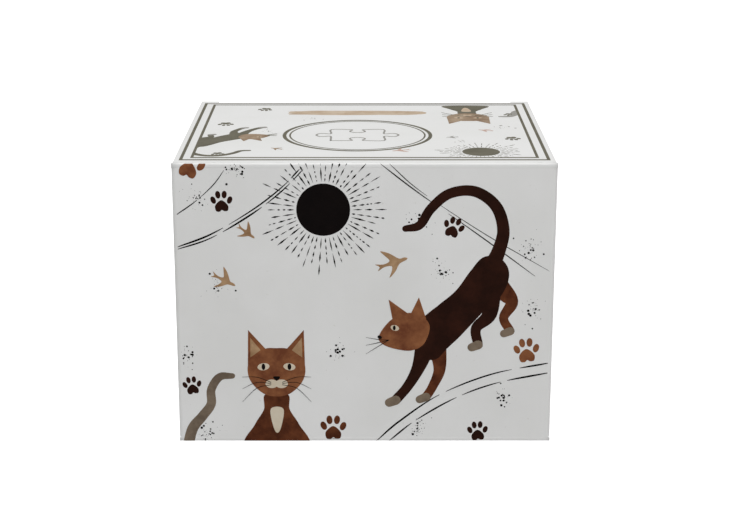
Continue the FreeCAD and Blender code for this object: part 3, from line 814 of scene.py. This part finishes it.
def sitting_cat():
    """Plain cat seen from the front, cut by the lower edge, its tail raised beside it."""
    middle = -30.6
    tail = [
        (-62.0, -1.2), (-60.2, 5), (-56.6, 9.6), (-53.6, 14), (-53.4, 19.4), (-50.4, 24.0),
        (-46.0, 24.4),
    ]
    body = [
        (-34.6, 17.6), (-35.2, 12.0), (-38.4, 6.4), (-41.4, -1.6), (-20.2, -1.6), (-23.0, 6.4),
        (-26.2, 12.0), (-26.8, 17.6),
    ]
    head = [
        (-40.6, 27.6), (-39.6, 22.4), (-35.4, 18.0), (-30.6, 16.8), (-25.8, 18.0), (-21.6, 22.4),
        (-20.6, 27.6), (-22.6, 32.2), (-26.8, 34.4), (-30.6, 34.6), (-34.4, 34.4), (-38.6, 32.2),
    ]
    bib = [(-32.8, 12.2), (-28.4, 12.2), (-29.2, 5.6), (-30.6, 3.2), (-32.0, 5.6)]
    ear = np.array([(3.4, 34.0), (9.6, 41.2), (9.9, 28.4), (5.6, 30.0)])
    lining = np.array([(5.4, 33.9), (8.9, 38.4), (9.0, 31.2)])
    drawing = [
        ("taupe", 1, brush(tail, [3.8, 3.7, 3.4, 3.2, 3.0, 2.8, 2.0])),
        ("umber", 1, rounded(body)),
        ("chestnut", 3, rounded(head)),
    ]
    for side in (-1, 1):
        drawing += [
            ("chestnut", 2, ear * (side, 1) + (middle, 0)),
            ("tan", 4, lining * (side, 1) + (middle, 0)),
            ("cream", 5, ellipse(middle + side * 4.5, 27.8, 2.1, 1.3, side * -8)),
            ("black", 6, ellipse(middle + side * 4.5, 27.8, 0.65, 1.2, 0, 16)),
            ("cream", 4, ellipse(middle + side * 1.7, 21.5, 2.2, 1.6)),
        ]
    drawing.append(("black", 6, rounded([(-31.8, 24.1), (-29.4, 24.1), (-30.6, 22.7)], 5)))
    for side in (-1, 1):
        for lift in (-0.32, -0.08, 0.14):
            root, halfway, tip = (middle + side * far for far in (2, 7, 12))
            drawing += hair((root, 21.8 + lift * 2), (halfway, 22.7 + lift * 9), (tip, 21.2 + lift * 20))
    drawing.append(("cream", 3, rounded(bib, 6)))
    return drawing


def front_drawing(chance):
    """Drawing on the hinge-side wall: x from the middle, y up from the ground."""
    drawing = sun(chance, -14.0, 84.0, 9.1, 20.5) + leaping_cat() + sitting_cat()
    drawing += several(
        paw, (-48.3, 86.6, 7.2, 2), (30.0, 77.6, 7.0, -18), (-60.0, 20.6, 6.4, 8),
        (-11.0, 4.8, 8.8, 0, "umber"), (39.6, 3.6, 7.0, 4), (56.0, 33.4, 8.6, 6, "chestnut"),
        (-58.6, 99.4, 9.4, -20, "chestnut"),
    )
    drawing += several(
        bird, (-40.2, 76.2, 6.6, -38), (-48.2, 59.2, 8.2, -28), (9.4, 65.2, 10.2, 18)
    )
    for x, y in (
        (-56.8, 88), (-50.4, 57), (-43.6, 98), (18.6, 80), (26.2, 61.4), (57, 70.5), (58, 48.6),
        (-62, 32), (-9.4, 33), (48.6, 17), (18.6, 5), (-55.4, 2.6),
    ):
        drawing += specks(chance, x, y, 5.2)
    for points, width in (
        ([(-64, 70.0), (-52, 74.2), (-38, 82.6), (-28, 90.4), (-20.6, 98)], 0.55),
        ([(-64, 70.78), (-52, 75.5), (-38, 83.9), (-28, 91.7), (-21.9, 98)], 0.55),
        ([(-64, 82), (-57, 87), (-50.6, 93), (-46, 99.6)], 0.4),
        ([(5.4, 99.8), (18, 90), (40, 74.2), (63.2, 56.8)], 0.55),
        ([(8.4, 99.8), (18.6, 90.6), (40, 76), (63.0, 62.4)], 0.38),
        ([(4.2, 0.2), (12, 7.4), (26, 17.4), (44, 25), (64, 29.2)], 0.62),
        ([(8.6, 0.2), (18, 8), (32, 16.4), (46, 21.8), (64, 25.6)], 0.55),
    ):
        drawing += thread(points, width, chance)
    return drawing


def ring(x, y, radius, width, steps=120):
    """Ring as two half bands, so that each is a plain outline."""
    halves = []
    for start in (0, math.pi):
        angle = np.linspace(start, start + math.pi, steps // 2)
        round_line = np.column_stack([np.cos(angle), np.sin(angle)])
        outer = round_line * (radius + width / 2)
        inner = round_line[::-1] * (radius - width / 2)
        halves.append(np.concatenate([outer, inner]) + (x, y))
    return halves


def bar(x0, y0, x1, y1):
    """Upright rectangle."""
    return np.array([(x0, y0), (x1, y0), (x1, y1), (x0, y1)], float)


def jigsaw_outline(x, y, size):
    """Plain outline of one jigsaw piece, drawn as a closed band of even width."""
    side = [
        (-0.5, -0.5), (-0.16, -0.5), (-0.1, -0.46), (-0.14, -0.36), (-0.12, -0.27), (0, -0.22),
        (0.12, -0.27), (0.14, -0.36), (0.1, -0.46), (0.16, -0.5),
    ]
    knob = [(u, -1 - v) if -0.49 < v else (u, v) for u, v in side]
    sides = [moved(line, turn=90 * k) for k, line in enumerate((side, knob, side, knob))]
    return brush(moved(np.concatenate([*sides, sides[0][:1]]), x, y, 0, size), 0.7, 4)


# Each ink swapped for its paler lid copy: painted glare, the lid's print washed out by the light above.
LID_GLARE_INKS = {
    "sepia": "pale_olive", "umber": "pale_olive", "chestnut": "pale_brown", "taupe": "pale_grey",
    "cream": "pale_tan", "black": "pale_olive", "tan": "pale_brown",
}


def lid_drawing(chance):
    """Drawing on the lid: a double frame, a double ring round a piece outline, a brush stroke.

    The drawing reads from behind, so the cats are turned half round.
    """
    drawing = []
    # All of the lid's print is in the pale inks, which paint the glare on the lid.
    for side, front, rear, thick in ((62.3, -49.6, 50.4, 1.1), (58.8, -46.2, 47.6, 1.0)):
        half = thick / 2
        drawing += [("pale_olive", 1, bar(x - half, front - half, x + half, rear)) for x in (-side, side)]
        front_bar = bar(half - side, front - half, side - half, front + thick * 0.75)
        rear_bar = bar(half - side, rear - 1.5 * thick, side - half, rear)
        drawing += [("pale_olive", 1, front_bar), ("pale_grey", 1, rear_bar)]
    frame_lines = len(drawing)
    for radius, width in ((26.3, 1.35), (24.3, 0.6)):
        drawing += [("pale_olive", 1, half) for half in ring(-2.6, -9.4, radius, width)]
    drawing.append(("pale_grey", 1, jigsaw_outline(-2.6, -9.4, 19)))
    stroke = [(-28, 31.6), (-20, 31.4), (-8, 31.0), (6, 31.2), (16, 30.8), (21.4, 31.0)]
    drawing.append(("pale_tan", 1, brush(stroke, [2.4, 7.6, 8.2, 7.8, 7.2, 4.6], 6)))
    for _ in range(26):
        y = chance.uniform(27.6, 34.8)
        start, end = chance.uniform(-29.5, -26), chance.uniform(18, 23)
        bristle = brush([(start, y), (-4, y + 0.3), (end, y)], [0.1, 0.5, 0.1], 4)
        drawing.append(("pale_tan", 2, bristle))
    drawing += sun(chance, 40.2, -37.0, 6.5, 13.8, 34, "pale_olive")
    drawing += arranged(leaping_cat(), LID_GLARE_INKS, x=-31.4, y=13.0, turn=180, scale=0.62)
    drawing += arranged(sitting_cat(), LID_GLARE_INKS, x=14.6, y=43.4, turn=180, scale=0.8)
    paws = (
        (-38.4, 38.0, 5.4, 170), (-51.6, 10.2, 5.8, 185), (-50.4, -40.2, 4.6, 190),
        (55.4, 28.0, 4.8, 180), (52.8, -15.2, 5.6, 190),
    )
    drawing += several(paw, *((*place, "pale_olive") for place in paws))
    drawing += several(
        bird, (-30.6, -32, 4.4, 150, "pale_brown"), (12.6, -34.6, 6.2, 200, "pale_rust"),
        (44.2, -1.2, 5.2, 160, "pale_rust"), (31.4, -13.0, 4.2, 190, "pale_grey"),
    )
    for x, y in ((34, -20), (-20, 20), (50, 4), (-36, -2)):
        drawing += specks(chance, x, y, 5.0, 16, "pale_grey")
    low, high = (-58.3, -45.7), (58.3, 47.2)
    inside = [(colour, layer, clipped(outline, low, high)) for colour, layer, outline in drawing]
    return drawing[:frame_lines] + inside[frame_lines:]


def plain_drawing(chance):
    """Scattered prints, birds, spatter and lines for a wall with no cats."""
    half_width = 53
    drawing = []
    for column in np.linspace(-half_width + 14, half_width - 14, 4):
        for level in (16, 44, 72, 90):
            x, y = column + chance.uniform(-7, 7), level + chance.uniform(-6, 6)
            kind = chance.integers(0, 5)
            if kind < 2:
                size, turn = chance.uniform(6, 9), chance.uniform(-25, 25)
                drawing += paw(x, y, size, turn, ("sepia", "umber", "chestnut")[chance.integers(0, 3)])
            elif kind == 2:
                drawing += bird(x, y, chance.uniform(7, 10), chance.uniform(-40, 40))
            else:
                drawing += specks(chance, x, y, 5.5)
    places = (-half_width + 2, -half_width / 3, half_width / 3, half_width - 2)
    for level in (8.0, 12.0):
        line = [(x, level + rise) for x, rise in zip(places, (12, 4, 16, 22))]
        drawing += thread(line, 0.34, chance)
    return drawing


def back_drawing(chance):
    """Back wall: the same subjects spread the other way round, under the tuck-in edge."""
    drawing = sun(chance, -30.0, 70.0, 9.1, 20.0)
    drawing += arranged(sitting_cat(), x=6) + arranged(leaping_cat(), x=2, y=2, scale=0.9)
    drawing += several(
        paw, (-57.0, 88.0, 7.4, 12), (4.0, 20.0, 8.2, -10, "umber"), (58.0, 20.0, 7.0, 16),
        (-54.0, 42.0, 8.0, -8, "chestnut"), (56.0, 88.0, 7.4, -14, "umber"),
    )
    drawing += several(bird, (-4.0, 64.0, 9.0, 24), (2.0, 88.0, 7.0, -30), (-56.0, 64.0, 8.0, 14))
    for x, y in ((-10, 46), (-50, 20), (24, 70), (44, 12), (-20, 92), (58, 52)):
        drawing += specks(chance, x, y, 5.4)
    drawing += thread([(-62, 52), (-50, 55), (-38, 50), (-6, 56)], 0.5, chance)
    drawing += thread([(2, 2), (16, 7), (36, 7), (62, 14)], 0.55, chance)
    return drawing


# ---- printing

def print_drawing(name, body, drawing, windows, lay, apart=0.0):
    """Print a drawing as one piece for each ink, of closed prisms, cut to windows one by one.

    A prism sinks into the board and stands a little proud: more for a later layer, and a
    hair more than its neighbour, so that no two tops that overlap are in one plane.  lay turns
    an outline's points into points on the board and their normals.  Of two points that are
    not apart, one is dropped.
    """
    inks = {}
    for number, (colour, layer, outline) in enumerate(drawing):
        height = MM * (INK_HEIGHT + INK_STEP * layer + INK_LIFT * (number % INK_LIFTS))
        for low, high in windows:
            cut = clipped(np.asarray(outline, float), low, high)
            if len(cut) > 2:
                cut = cut[np.linalg.norm(cut - np.roll(cut, 1, 0), axis=1) >= apart]
            if len(cut) < 3 or np.ptp(cut[:, 0]) < THINNEST:
                continue
            x, y = cut.T
            area = np.sum(x * np.roll(y, -1) - y * np.roll(x, -1))
            points, normal = lay(cut if area > 0 else cut[::-1])
            vertices, faces = inks.setdefault(colour, ([], []))
            upper = np.arange(len(cut)) + 2 * sum(len(block) for block in vertices[::2])
            lower = upper + len(cut)
            sides = np.stack([lower, np.roll(lower, -1), np.roll(upper, -1), upper], 1)
            vertices += [points + normal * height, points - normal * MM * INK_UNDER]
            faces += [upper.tolist(), lower[::-1].tolist()] + sides.tolist()
    for colour in sorted(inks):
        vertices, faces = inks[colour]
        vertices = np.concatenate(vertices)
        yield new_piece(f"{name}_print_{colour}", vertices, faces, INKS[colour], body)


def print_on(panel, body, drawing, origin, across, along, low, high):
    """Print a drawing on a flat panel, cut to the window from low to high."""
    def lay(outline):
        flat = outline[:, :1] * across + outline[:, 1:] * along
        return origin + MM * flat, np.cross(across, along)

    for piece in print_drawing(panel, body, drawing, [(low, high)], lay, SAME_POINT):
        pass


def print_over_fold(lid, drawing):
    """Carry the front drawing on round the edge where the lid or the bottom folds.

    Each outline is cut into bands, and a band's points are laid on the fold's skin: out by
    (1 - rise^tightness)^(1/tightness) boards where it has risen by that share of a board.
    """
    low, high = box(f"{lid}_crease")
    up, level = (1.0, low[2]) if lid == "lid" else (-1.0, high[2])
    corner = np.array([0.0, high[1], level])
    edge = (WIDTH / 2 - BOARD) / MM
    levels = [(level + up * rise * BOARD) / MM for rise in PRINT_BANDS]
    windows = [((-edge, min(pair)), (edge, max(pair))) for pair in zip(levels, levels[1:])]

    def lay(band):
        rise = np.clip((band[:, 1] * MM - level) * up / BOARD, 0, 1)
        out = (1 - rise**FOLD_TIGHTNESS) ** (1 / FOLD_TIGHTNESS)
        normal = np.column_stack([0 * out, -out, up * rise])
        normal *= np.abs(normal) ** (FOLD_TIGHTNESS - 2)
        normal /= np.linalg.norm(normal, axis=1, keepdims=True)
        skin = np.column_stack([band[:, 0] * MM, -out * BOARD, up * rise * BOARD])
        return corner + skin, normal

    for piece in print_drawing(f"{lid}_crease", None, drawing, windows, lay):
        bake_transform(piece)


def artwork():
    """Printing on the lid and on all four walls."""
    chance = np.random.default_rng(7)
    right, back, top = RIGHT * WIDTH / 2, BACK * DEPTH / 2, UP * HEIGHT
    edge, deep = (WIDTH / 2 - BOARD) / MM, (DEPTH / 2 - BOARD) / MM
    foot, head = BOARD / MM, (HEIGHT - BOARD) / MM
    side_foot = foot * 2 + 0.4
    side_window = (-deep, side_foot), (deep, HEIGHT / MM - side_foot)
    front = front_drawing(chance)
    print_on("front", "carton", front, -back, RIGHT, UP, (-edge, foot), (edge, head))
    print_over_fold("lid", front)
    print_over_fold("bottom", front)
    print_on("back", "carton", back_drawing(chance), back, -RIGHT, UP,
             (-edge, foot + 0.3), (edge, head - 0.3))
    print_on("right", "carton", plain_drawing(chance), right, BACK, UP, *side_window)
    print_on("left", "carton", plain_drawing(chance), -right, -BACK, UP, *side_window)
    print_on("lid", "lid", lid_drawing(chance), top, RIGHT, BACK, (-edge, -deep), (edge, deep))


# ---- contents

def loose_parts(points, triangles):
    """Split a mesh of touching triangles into its separate solids, doubles merged."""
    keys, merged = np.unique(np.round(points / (0.001 * MM)).astype(int), axis=0, return_inverse=True)
    corners = merged.reshape(-1)[triangles]
    label = np.arange(len(keys))
    while True:
        lowest = label[corners].min(1)
        spread = label.copy()
        for i in range(3):
            np.minimum.at(spread, corners[:, i], lowest)
        spread = spread[spread]
        if (spread == label).all():
            break
        label = spread
    place = keys * (0.001 * MM)
    owner = label[corners[:, 0]]
    return [(place, corners[owner == part]) for part in np.unique(owner)]


def give_uvs(piece, uvs):
    """Name a picture layer on the piece and fill it, one pair for each face corner."""
    layer = piece.data.uv_layers.new(name="picture")
    layer.data.foreach_set("uv", uvs.reshape(-1))


def jigsaw_pieces():
    """The loose pieces: each shows its own share of one picture on one face, greyboard elsewhere.

    A piece's thickness axis is the direction in which its faces' squared areas lean the most.
    """
    chance = np.random.default_rng(11)
    order = chance.permutation(PICTURE_COLUMNS * PICTURE_ROWS)
    taken = 0
    for node in sorted(name for name in frame["nodes"] if name.startswith("jigsaw_pieces")):
        vertices, faces, materials, texture, count = [], [], [], [], 0
        for place, corners in loose_parts(*node_mesh(node)):
            first, second, third = (place[corners[:, i]] for i in range(3))
            normal = np.cross(second - first, third - first)
            across, along, thick = np.linalg.eigh(normal.T @ normal)[1].T
            thick = thick * chance.choice((-1, 1))
            turn = chance.uniform(0, math.tau)
            spin = np.array([[math.cos(turn), -math.sin(turn)], [math.sin(turn), math.cos(turn)]])
            square = spin @ np.array([across, along])
            printed = normal @ thick > 0.9 * np.linalg.norm(normal, axis=1)
            row, column = divmod(int(order[taken % len(order)]), PICTURE_COLUMNS)
            taken += 1
            used, renumbered = np.unique(corners, return_inverse=True)
            own = place[used]
            local = (own - (own.max(0) + own.min(0)) / 2) @ square.T / PITCH
            picture = (local + (column + 0.5, row + 0.5)) / (PICTURE_COLUMNS, PICTURE_ROWS)
            texture.append(picture[renumbered.reshape(-1)])
            vertices.append(own)
            faces.append(renumbered.reshape(-1, 3) + count)
            materials.append(np.where(printed, 0, 1))
            count += len(own)
        vertices, faces = np.concatenate(vertices), np.concatenate(faces).tolist()
        piece = new_piece(f"{node}_cut", vertices, faces, PUZZLE_PRINT, "carton")
        piece.data.materials.append(GREYBOARD)
        piece.data.polygons.foreach_set("material_index", np.concatenate(materials))
        give_uvs(piece, np.concatenate(texture))
        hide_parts(node)


def picture_leaflet():
    """Guide picture on one long sheet, folded in a zigzag of four leaves and stood on edge.

    The path runs up one leaf, round a half circle, down the next and so on; it is carried
    across the sheet's width.
    """
    low, high = box("picture_leaflet")
    pitch = (high[1] - low[1] - PAPER) / (LEAVES - 1)
    bend = pitch / 2
    ends = low[2] + bend + PAPER, high[2] - bend - PAPER
    path = []
    for leaf in range(LEAVES):
        up = 1 if leaf % 2 == 0 else -1
        y = high[1] - PAPER / 2 - pitch * leaf
        level = np.linspace(*ends[::up], 25)
        path.append(np.column_stack([np.full_like(level, y), level]))
        if leaf < LEAVES - 1:
            turn = np.linspace(0, math.pi, 9)[1:-1]
            round_end = y - bend + bend * np.cos(turn), level[-1] + up * bend * np.sin(turn)
            path.append(np.column_stack(round_end))
    path = np.concatenate(path)
    ahead = np.gradient(path, axis=0)
    ahead /= np.linalg.norm(ahead, axis=1, keepdims=True)
    side = np.column_stack([-ahead[:, 1], ahead[:, 0]]) * (PAPER / 2)
    width = np.linspace(low[0], high[0], 31)

    def carried(line):
        grid = np.empty((len(line), len(width), 3))
        grid[..., 0] = width
        grid[..., 1:] = line[:, None, :]
        return grid

    vertices, faces = shell(carried(path + side), carried(path - side))
    paper = leaflet_paper()
    piece = new_piece("picture_leaflet_folded", vertices, faces, paper, "carton", True)
    walked = np.concatenate([[0], np.cumsum(np.linalg.norm(np.diff(path, axis=0), axis=1))])
    across = (width - low[0]) / (high[0] - low[0])
    share = np.stack(np.meshgrid(across, walked / (walked[-1] / LEAVES)), -1).reshape(-1, 2)
    give_uvs(piece, np.concatenate([share, share])[np.concatenate(faces)])
    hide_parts("picture_leaflet")


def pile_height(grid_x, grid_y, floor):
    """Top of the heap under each grid place, from the pieces' highest points, blurred."""
    height = np.full(grid_x.shape, floor)
    rows, columns = height.shape
    for node in frame["nodes"]:
        if node.startswith("jigsaw_pieces"):
            points, corners = node_mesh(node)
            points = np.concatenate([points, points[corners].mean(1)])
            column = np.searchsorted(grid_x[0], points[:, 0]).clip(0, columns - 1)
            row = np.searchsorted(grid_y[:, 0], points[:, 1]).clip(0, rows - 1)
            np.maximum.at(height, (row, column), points[:, 2])
    for spread in (np.max, np.max, np.mean, np.mean, np.mean):
        padded = np.pad(height, 1, "edge")
        around = [padded[i : i + rows, j : j + columns] for i in range(3) for j in range(3)]
        height = np.maximum(height, spread(around, 0))
    return height


def puzzle_bag():
    """Clear bag that sags round the heap: a lofted shell with creased sides and a draped top.

    Rings of points run from the middle of the floor, out to the rounded-rectangle plan, up
    the sides and back to the middle along the draped top; creases are sums of sines.
    """
    low, high = box("puzzle_bag")
    half, middle = (high - low)[:2] / 2, (high + low)[:2] / 2
    turn = np.linspace(0, math.tau, BAG_POINTS, endpoint=False)
    ray = np.column_stack([np.cos(turn), np.sin(turn)])
    stretch = ((np.abs(ray) / half) ** BAG_SQUARENESS).sum(1) ** (-1 / BAG_SQUARENESS)
    plan = ray * (stretch * 0.996)[:, None]
    columns, rows = (np.linspace(low[i], high[i], n) for i, n in ((0, BAG_COLUMNS), (1, BAG_ROWS)))
    height = pile_height(*np.meshgrid(columns, rows), low[2] + LEAST_HEAP)
    floor, top_limit = low[2] + 0.02 * MM, high[2] - 0.9 * MM

    def draped(points):
        """Blend of the four grid heights round each point, never over the top limit."""
        x, y = points[..., 0], points[..., 1]
        u = (x - low[0]) / (high[0] - low[0]) * (BAG_COLUMNS - 1)
        v = (y - low[1]) / (high[1] - low[1]) * (BAG_ROWS - 1)
        i, j = u.astype(int).clip(0, BAG_COLUMNS - 2), v.astype(int).clip(0, BAG_ROWS - 2)
        a, b = u - i, v - j
        level = (height[j, i] * (1 - a) * (1 - b) + height[j, i + 1] * a * (1 - b)
                 + height[j + 1, i] * (1 - a) * b + height[j + 1, i + 1] * a * b)
        crease = np.sin(x * 610 + 2 * np.sin(y * 240)) * 0.25
        crease += np.sin(y * 820 + 3 * np.sin(x * 170)) * 0.2
        return np.minimum(level + (0.35 + crease) * MM, top_limit)

    rings = []
    for size in np.linspace(0, 1, FLOOR_RINGS)[1:]:
        rings.append(np.column_stack([middle + plan * size, np.full(len(plan), floor)]))
    rim = draped(middle + plan * 0.93) - 1.5 * MM - low[2]
    for rise in np.linspace(0, 1, SIDE_RINGS)[1:-1]:
        pull = np.sin(turn * 23 + 6 * rise) * 0.35 + np.sin(turn * 47 + 9 * rise) * 0.2 + 0.55
        slack = (0.2 + 0.7 * rise * pull)[:, None] * MM
        swell = 1 - slack / np.linalg.norm(plan, axis=1, keepdims=True)
        bow = 1 - 0.12 * max(0.0, rise - 0.75) ** 2
        rings.append(np.column_stack([middle + plan * swell * bow, low[2] + rim * rise]))
    for size in np.linspace(0.965, 0.0, TOP_RINGS)[:-1]:
        flat = middle + plan * size
        rings.append(np.column_stack([flat, draped(flat)]))
    index = np.arange(len(rings) * len(turn)).reshape(len(rings), len(turn))
    ahead = np.roll(index, -1, 1)
    quads = np.stack([index[:-1], ahead[:-1], ahead[1:], index[1:]], -1).reshape(-1, 4)
    foot = index.size
    vertices = np.concatenate([*rings, [[*middle, floor], [*middle, draped(middle)]]])
    caps = [(foot, int(b), int(a)) for a, b in zip(index[0], ahead[0])]
    caps += [(foot + 1, int(a), int(b)) for a, b in zip(index[-1], ahead[-1])]
    bag = new_piece("puzzle_bag_film", vertices, quads.tolist() + caps, CLEAR_FILM, "carton", True)
    film = bag.modifiers.new("film", "SOLIDIFY")
    film.thickness = FILM
    film.offset = -1.0
    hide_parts("puzzle_bag")

    across = np.linspace(low[0] + SEAL_END, high[0] - SEAL_END, 160)
    down = np.linspace(-SEAL_HALF, SEAL_HALF, 34)
    points = np.stack(np.meshgrid(across, middle[1] + down, indexing="ij"), -1)
    crimp = SEAL_CRIMP * np.sin(math.tau * down / SEAL_PITCH) * (np.abs(down) > SEAL_PLAIN)
    level = np.minimum(draped(points) + 0.25 * MM + crimp, high[2] - 0.02 * MM)
    upper = np.concatenate([points, level[..., None]], -1)
    sheet = shell(upper, upper - (0, 0, SEAL_THICK))
    seal = new_piece("puzzle_bag_seal", *sheet, CLEAR_FILM, "carton", True)
    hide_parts("puzzle_bag")


# ---- stage

def studio():
    """Pale floor, and soft light from above and in front."""
    paint = Paint("pale_floor", roughness=0.9, specular_ior_level=0.1, emission_strength=0.8)
    cloud = paint.noise(paint.place(), 3.0)
    paint.drive("Base Color", paint.mix(cloud, (250, 250, 250), (247, 247, 247)))
    paint.drive("Emission Color", srgb(255, 255, 255))
    size = 6.0
    corners = [(-size, -size, 0), (size, -size, 0), (size, size, 0), (-size, size, 0)]
    ground = new_piece("floor", corners, [[0, 1, 2, 3]], paint.material, None)
    ground.visible_diffuse = False

    scene = bpy.context.scene
    scene.world = bpy.data.worlds.new("studio")
    scene.world.use_nodes = True
    background = scene.world.node_tree.nodes["Background"]
    background.inputs["Color"].default_value = (1.0, 1.0, 1.0, 1.0)
    background.inputs["Strength"].default_value = 0.34
    scene.view_settings.view_transform = "Standard"

    for name, place, aim, power, width in (
        ("key", (0.2, -1.3, 1.0), (0, 0, 0.06), 10.3, 1.2),
        ("top", (-0.05, 0.15, 1.7), (0, 0, 0.1), 14.5, 1.4),
    ):
        lamp = bpy.data.lights.new(name, "AREA")
        lamp.energy = power
        lamp.size = width
        holder = bpy.data.objects.new(name, lamp)
        scene.collection.objects.link(holder)
        holder.location = place
        direction = Vector(aim) - Vector(place)
        holder.rotation_euler = direction.to_track_quat("-Z", "Y").to_euler()


def camera():
    """Camera in front of the hinge-side wall, a little above, looking down on the lid."""
    lens = bpy.data.cameras.new("camera")
    lens.sensor_width = 36.0
    lens.lens = 84.1
    lens.clip_start = 0.01
    holder = bpy.data.objects.new("camera", lens)
    holder.location = (0.00012, -0.61262, 0.22870)
    holder.rotation_euler = (math.radians(73.6485), 0, 0)
    bpy.context.scene.collection.objects.link(holder)
    bpy.context.scene.camera = holder


camera()
studio()
carton_board()
folds()
artwork()
jigsaw_pieces()
picture_leaflet()
puzzle_bag()
